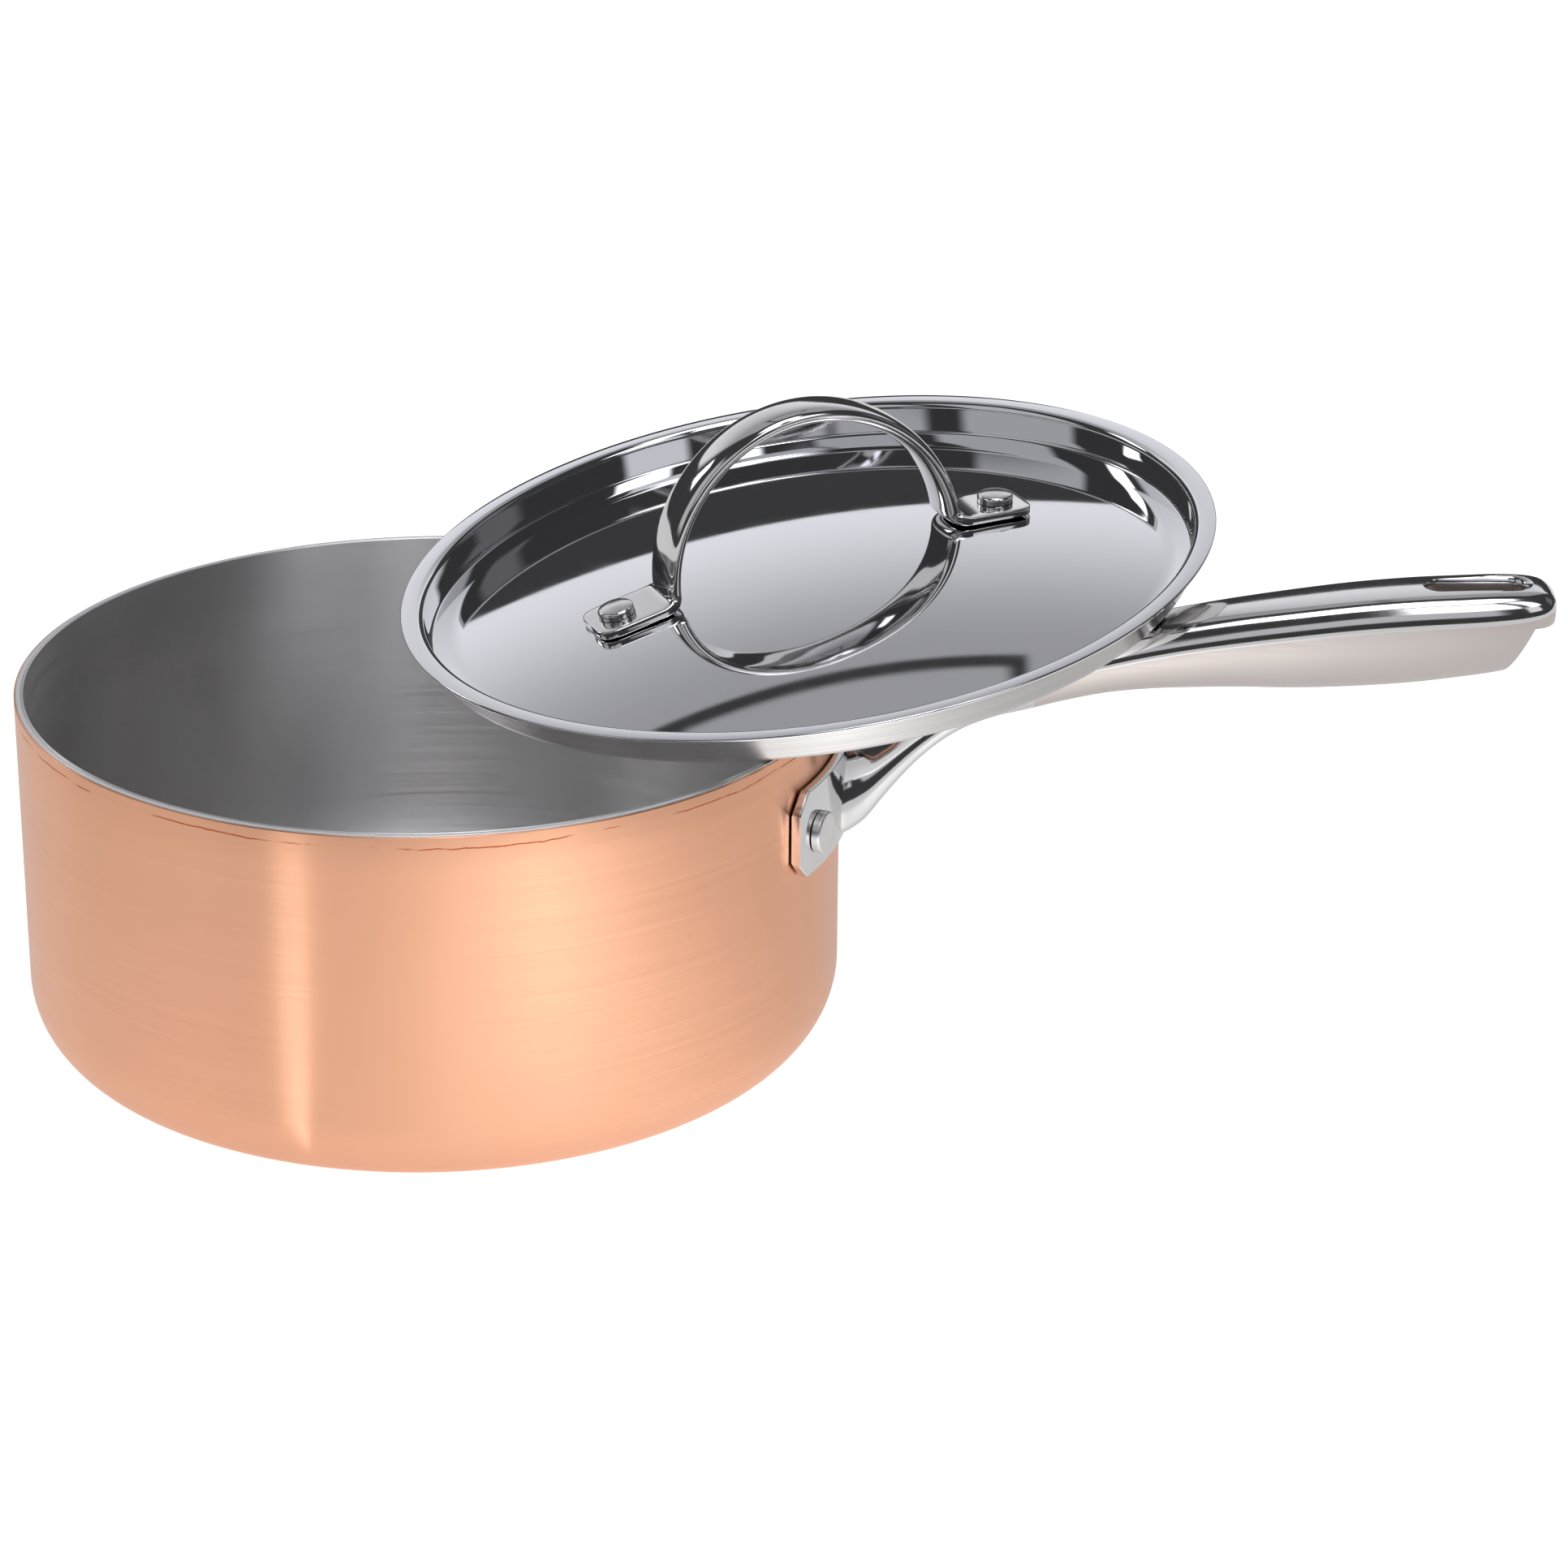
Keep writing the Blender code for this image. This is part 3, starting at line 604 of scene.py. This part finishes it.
slot_rings = []
for height, flare in (
    (0.0800, 0.0),
    (0.1135, 0.0),
    (0.1150, 0.0001),
    (0.1158, 0.0003),
    (0.1163, 0.0007),
    (0.1167, 0.0013),
    (0.1170, 0.0022),
    (0.1172, 0.0036),
    (0.1200, 0.0090),
):
    reach = (slot_length - slot_width) / 2.0
    ring = []
    for start, shift in ((-90.0, reach), (90.0, -reach)):
        for step in range(25):
            angle = math.radians(start + 180.0 * step / 24)
            radius = (slot_width + flare) / 2.0
            along = slot_middle + shift + radius * math.cos(angle)
            ring.append((along, radius * math.sin(angle), height))
    slot_rings.append(ring)
slot_tool = joined_rings("slot_tool", slot_rings, lambda row, step: 1 if row < 2 else 0)
end_rings = []
for side in (-0.020, 0.020):
    corners = [(0.2570, 0.0900), (0.2662, 0.1092), (0.2900, 0.1092), (0.2900, 0.0900)]
    end_rings.append([(along, side, height) for along, height in corners])
end_tool = joined_rings("end_tool", end_rings, lambda row, step: 1)
for tool in (slot_tool, end_tool):
    cut = casting.modifiers.new(tool.name, "BOOLEAN")
    cut.operation = "DIFFERENCE"
    cut.solver = "EXACT"
    cut.object = tool

plate_rings = []
plate_steps = 120
for step in range(plate_steps + 1):
    angle = math.radians(-plate_half + 2.0 * plate_half * step / plate_steps)
    from_end = (math.radians(plate_half) - abs(angle)) * plate_outer
    clip = max(0.0, plate_clip - from_end)
    if from_end < plate_edge:
        clip += 0.0003
    low = plate_bottom + clip
    high = plate_top - clip * 1.1
    outline = []
    for centre_r, centre_z, start in (
        (plate_inner + plate_edge, low + plate_edge, 180.0),
        (plate_outer - plate_edge, low + plate_edge, 270.0),
        (plate_outer - plate_edge, high - plate_edge, 0.0),
        (plate_inner + plate_edge, high - plate_edge, 90.0),
    ):
        outline += arc(centre_r, centre_z, plate_edge, start, start + 90.0, 4)
    plate_rings.append([(r * math.cos(angle), r * math.sin(angle), z) for r, z in outline])
plate = joined_rings("handle_plate", plate_rings, lambda row, step: 0)
for piece in (casting, plate, slot_tool, end_tool):
    piece.data.materials.append(polished)
    piece.data.materials.append(satin)


def finished_mesh(piece, sharp):
    """Takes the cuts into the mesh itself and marks its sharp edges."""
    shaped = piece.evaluated_get(bpy.context.evaluated_depsgraph_get())
    mesh = bpy.data.meshes.new_from_object(shaped)
    piece.modifiers.clear()
    piece.data = mesh
    mesh.set_sharp_from_angle(angle=math.radians(sharp))


bpy.context.view_layer.update()
finished_mesh(casting, 32.0)
finished_mesh(plate, 40.0)
for tool in (slot_tool, end_tool):
    bpy.data.objects.remove(tool, do_unlink=True)
for piece in (casting, plate):
    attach(piece, "pan")
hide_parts("pan_handle")

# Two solid steel rivets hold the plate to the wall, each with a broad head outside and a low one inside.
# Their heads are struck smooth and left bright, a little softer than the plate.
rivet_height = 0.0677
rivet_turn = 22.8
rivet_head = 0.0103 / 2.0
rivet_shank = 0.0024
inner_head = rivet_head * 1.04
rivet_steel = metal("steel_pan_rivet", (0.74, 0.73, 0.72), 0.30, 0.06, (500.0, 500.0, 500.0), 0.0000012, 0.04)
for label, turn, slot_name in (
    ("near", -rivet_turn, "steel_pan_rivet"),
    ("far", rivet_turn, "steel_pan_rivet_far"),
):
    out_face = plate_outer + 0.0001
    in_face = pan_radius - 0.00244
    outline = [(0.0, in_face - 0.0015), (rivet_head * 0.5, in_face - 0.0014)]
    outline += arc(inner_head - 0.0010, in_face - 0.0002, 0.0010, -80.0, 0.0, 6)
    outline += [(inner_head, in_face), (rivet_shank, in_face), (rivet_shank, out_face)]
    outline += [(rivet_head - 0.0001, out_face), (rivet_head, out_face + 0.0001)]
    outline += arc(rivet_head - 0.0008, out_face + 0.0014, 0.0008, 0.0, 74.0, 8)
    outline += [(rivet_head * 0.55, out_face + 0.00232), (rivet_head * 0.25, out_face + 0.0024)]
    outline.append((0.0, out_face + 0.00242))
    place = Matrix.Translation((0.0, 0.0, rivet_height))
    place = place @ Matrix.Rotation(math.radians(turn), 4, "Z")
    place = place @ Matrix.Rotation(math.radians(90.0), 4, "Y")
    rivet = turned("pan_rivet_head_" + label, outline, 64, place)
    rivet.data.materials.append(rivet_steel)
    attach(rivet, "pan")
    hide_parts("pan_rivet_" + label)

# The lid is pressed from one steel sheet: a flat rim, a short wall that drops into the pan, a domed floor.
# Its top is buffed to a mirror, and the outside of its wall is brushed round where it meets the pan.
lid_radius = 0.1025
lid_thick = 0.0008
rim_width = 0.0038
rim_bend = 0.0019
lid_depth = 0.0092
wall_taper = 0.0008
foot_bend = 0.0016
dome_radius = 0.4500
dome_crown = -0.0003
dome_edge = 0.0900
edge_round = 0.00035
lid_middle = (0.0914, 0.0398, 0.10855)
rise_right = 7.95
rise_back = 3.80


def lid_floor(radius):
    """Height of the floor's upper face: a shallow dome that levels out close to the wall."""
    if radius <= dome_edge:
        return dome_crown - radius * radius / (2.0 * dome_radius)
    outer = lid_radius - rim_width - rim_bend - wall_taper - 0.0012
    level = -lid_depth + lid_thick
    start = dome_crown - dome_edge * dome_edge / (2.0 * dome_radius)
    slope = -dome_edge / dome_radius
    span = outer - dome_edge
    t = min(1.0, (radius - dome_edge) / span)
    keep = (2.0 * t**3 - 3.0 * t**2 + 1.0) * start
    lean = (t**3 - 2.0 * t**2 + t) * slope * span
    return keep + lean + (3.0 * t**2 - 2.0 * t**3) * level


lean = (-math.sin(math.radians(rise_right)), -math.sin(math.radians(rise_back)), 1.0)
lid_up = Vector(lean).normalized()
lid_side = (Vector((1.0, 0.0, 0.0)) - lid_up * lid_up.x).normalized()
lid_back = lid_up.cross(lid_side)
lid_place = Matrix((lid_side, lid_back, lid_up)).transposed().to_4x4()
lid_place.translation = Vector(lid_middle)

rim_in = lid_radius - rim_width
foot_r = rim_in - rim_bend - wall_taper
level = -lid_depth + lid_thick
inner_bend = foot_bend - lid_thick
floor_line = [(0.002 * step, lid_floor(0.002 * step)) for step in range(1, 47)]
upper_face = [(0.0, lid_floor(0.0))] + floor_line
upper_face += arc(foot_r - inner_bend, level + inner_bend, inner_bend, -90.0, 0.0, 8)
upper_face += list(reversed(arc(rim_in, -rim_bend, rim_bend, 90.0, 180.0, 14)))
upper_face += arc(lid_radius - edge_round, -edge_round, edge_round, 90.0, 0.0, 5)
under_face = arc(lid_radius - edge_round, -lid_thick + edge_round, edge_round, 0.0, -90.0, 5)
under_face += arc(rim_in, -rim_bend, rim_bend - lid_thick, 90.0, 180.0, 8)
foot_out = foot_r + lid_thick
under_face += arc(foot_out - foot_bend, -lid_depth + foot_bend, foot_bend, 0.0, -90.0, 10)
under_face += [(radius, height - lid_thick) for radius, height in reversed(floor_line)]
under_face.append((0.0, lid_floor(0.0) - lid_thick))
lid_plate = turned("lid_pressing", upper_face + under_face, 384, lid_place)
lid_mirror = metal(
    "steel_lid_polished", (0.76, 0.76, 0.775), 0.035, 0.015, (90.0, 90.0, 90.0), 0.0000002, 0.02
)
lid_brushed = metal(
    "steel_lid_brushed", (0.66, 0.645, 0.63), 0.30, 0.07, (14.0, 14.0, 4200.0), 0.0000012, 0.04, 0.93
)
lid_plate.data.materials.append(lid_mirror)
lid_plate.data.materials.append(lid_brushed)
# The brushed band is every face of the wall and foot that looks outward under the rim.
for face in lid_plate.data.polygons:
    spot = face.center
    out = math.hypot(spot.x, spot.y)
    facing = spot.x * face.normal.x + spot.y * face.normal.y
    if out > foot_out - foot_bend and facing > 0.0 and spot.z < -lid_thick and out < rim_in + 0.0004:
        face.material_index = 1
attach(lid_plate, "lid")
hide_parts("lid_disc")

# The loop is bent from half-round steel bar and flattened at each end into a tab that lies on the lid.
# It is polished all over after bending.
loop_turn = 23.9
loop_shift = 0.0007
loop_drop = 0.0005
loop_radius = 0.0383
loop_width = 0.0140
loop_thick = 0.0044
tab_width = 0.0166
tab_thick = 0.0022
tab_end = 0.0592
loop_bend = 0.0040
tab_gap = 0.0003
lid_rivet_out = 0.0518
loop_place = lid_place @ Matrix.Rotation(math.radians(loop_turn), 4, "Z")
loop_place = loop_place @ Matrix.Translation((loop_shift, 0.0, 0.0))
foot_slope = math.atan(lid_rivet_out / dome_radius)
tab_along = Vector((math.cos(foot_slope), 0.0, -math.sin(foot_slope)))
tab_middle = Vector((lid_rivet_out, 0.0, lid_floor(lid_rivet_out) + tab_gap + tab_thick / 2.0))


def bar_ring(centre, heading, width, thick, power):
    """One section of the bar; a power of 2 makes it an oval, and a high one a rectangle."""
    outward = Vector((-heading.z, 0.0, heading.x))
    ring = []
    for step in range(64):
        angle = 2.0 * math.pi * step / 64
        y = math.copysign(abs(math.cos(angle)) ** (2.0 / power), math.cos(angle)) * width / 2.0
        z = math.copysign(abs(math.sin(angle)) ** (2.0 / power), math.sin(angle)) * thick / 2.0
        ring.append(tuple(centre + Vector((0.0, y, 0.0)) + outward * z))
    return ring


half_bar = []
for step in range(61):
    angle = math.radians(90.0 - 87.0 * step / 60)
    spot = Vector((loop_radius * math.cos(angle), 0.0, loop_radius * math.sin(angle) - loop_drop))
    half_bar.append((spot, Vector((math.sin(angle), 0.0, -math.cos(angle))), loop_width, loop_thick, 2.6))
arch_foot = half_bar[-1][0]
corner = tab_middle + tab_along * ((arch_foot.x + loop_bend - tab_middle.x) / tab_along.x)
knee = Vector((arch_foot.x, 0.0, tab_middle.z - tab_along.z / tab_along.x * (tab_middle.x - arch_foot.x)))
for step in range(1, 20):
    t = step / 20.0
    spot = arch_foot * (1.0 - t) ** 2 + knee * 2.0 * t * (1.0 - t) + corner * t * t
    heading = ((knee - arch_foot) * (1.0 - t) + (corner - knee) * t).normalized()
    width = loop_width + (tab_width - loop_width) * t
    thick = loop_thick + (tab_thick - loop_thick) * t
    half_bar.append((spot, heading, width, thick, 2.6 + 9.4 * t * t))
tab_reach = (tab_end - corner.x) / tab_along.x
for part, narrow, thin in (
    (0.0, 1.0, 1.0),
    (0.3, 1.0, 1.0),
    (0.6, 1.0, 1.0),
    (0.74, 0.995, 1.0),
    (0.80, 0.98, 1.0),
    (0.86, 0.95, 1.0),
    (0.91, 0.90, 1.0),
    (0.95, 0.83, 1.0),
    (0.98, 0.74, 0.96),
    (1.0, 0.62, 0.80),
):
    spot = corner + tab_along * (tab_reach * part)
    half_bar.append((spot, tab_along.copy(), tab_width * narrow, tab_thick * thin, 12.0))
bar_rings = []
for spot, heading, width, thick, power in reversed(half_bar[1:]):
    spot = Vector((-spot.x, 0.0, spot.z))
    bar_rings.append(bar_ring(spot, Vector((heading.x, 0.0, -heading.z)), width, thick, power))
for spot, heading, width, thick, power in half_bar:
    bar_rings.append(bar_ring(spot, heading, width, thick, power))
loop = joined_rings("lid_loop_bar", bar_rings, lambda row, step: 0)
loop.data.set_sharp_from_angle(angle=math.radians(45.0))
loop.matrix_world = loop_place
loop_steel = metal(
    "steel_loop_polished", (0.75, 0.74, 0.735), 0.07, 0.025, (140.0, 900.0, 140.0), 0.0000006, 0.03
)
loop.data.materials.append(loop_steel)
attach(loop, "lid")
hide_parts("lid_loop")

# One rivet through each tab holds the loop, headed with a low dome above and a flat button below.
# The heads are pressed bright, a little softer than the loop.
lid_head = 0.0092 / 2.0
lid_shank = 0.0022
under_head = lid_head * 0.86
lid_rivet_steel = metal(
    "steel_lid_rivet", (0.80, 0.795, 0.79), 0.17, 0.05, (600.0, 600.0, 600.0), 0.0000012, 0.04
)
for label, side in (("left", -1.0), ("right", 1.0)):
    out_face = tab_gap + tab_thick + 0.0001
    in_face = -lid_thick - 0.0002
    outline = [(0.0, in_face - 0.0012), (lid_head * 0.5, in_face - 0.0011)]
    outline += [(lid_head * 0.8, in_face - 0.0008), (under_head, in_face - 0.0003)]
    outline += [(under_head, in_face), (lid_shank, in_face), (lid_shank, out_face)]
    outline += [(lid_head - 0.0001, out_face), (lid_head, out_face + 0.0001)]
    outline += arc(lid_head - 0.0009, out_face + 0.0012, 0.0009, 0.0, 66.0, 8)
    outline += [(lid_head * 0.62, out_face + 0.00216), (lid_head * 0.32, out_face + 0.00234)]
    outline.append((0.0, out_face + 0.0024))
    place = loop_place @ Matrix.Translation((side * lid_rivet_out, 0.0, lid_floor(lid_rivet_out)))
    place = place @ Matrix.Rotation(side * foot_slope, 4, "Y")
    rivet = turned("lid_rivet_head_" + label, outline, 64, place)
    rivet.data.materials.append(lid_rivet_steel)
    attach(rivet, "lid")
    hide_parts("lid_rivet_" + label)

bpy.context.view_layer.update()
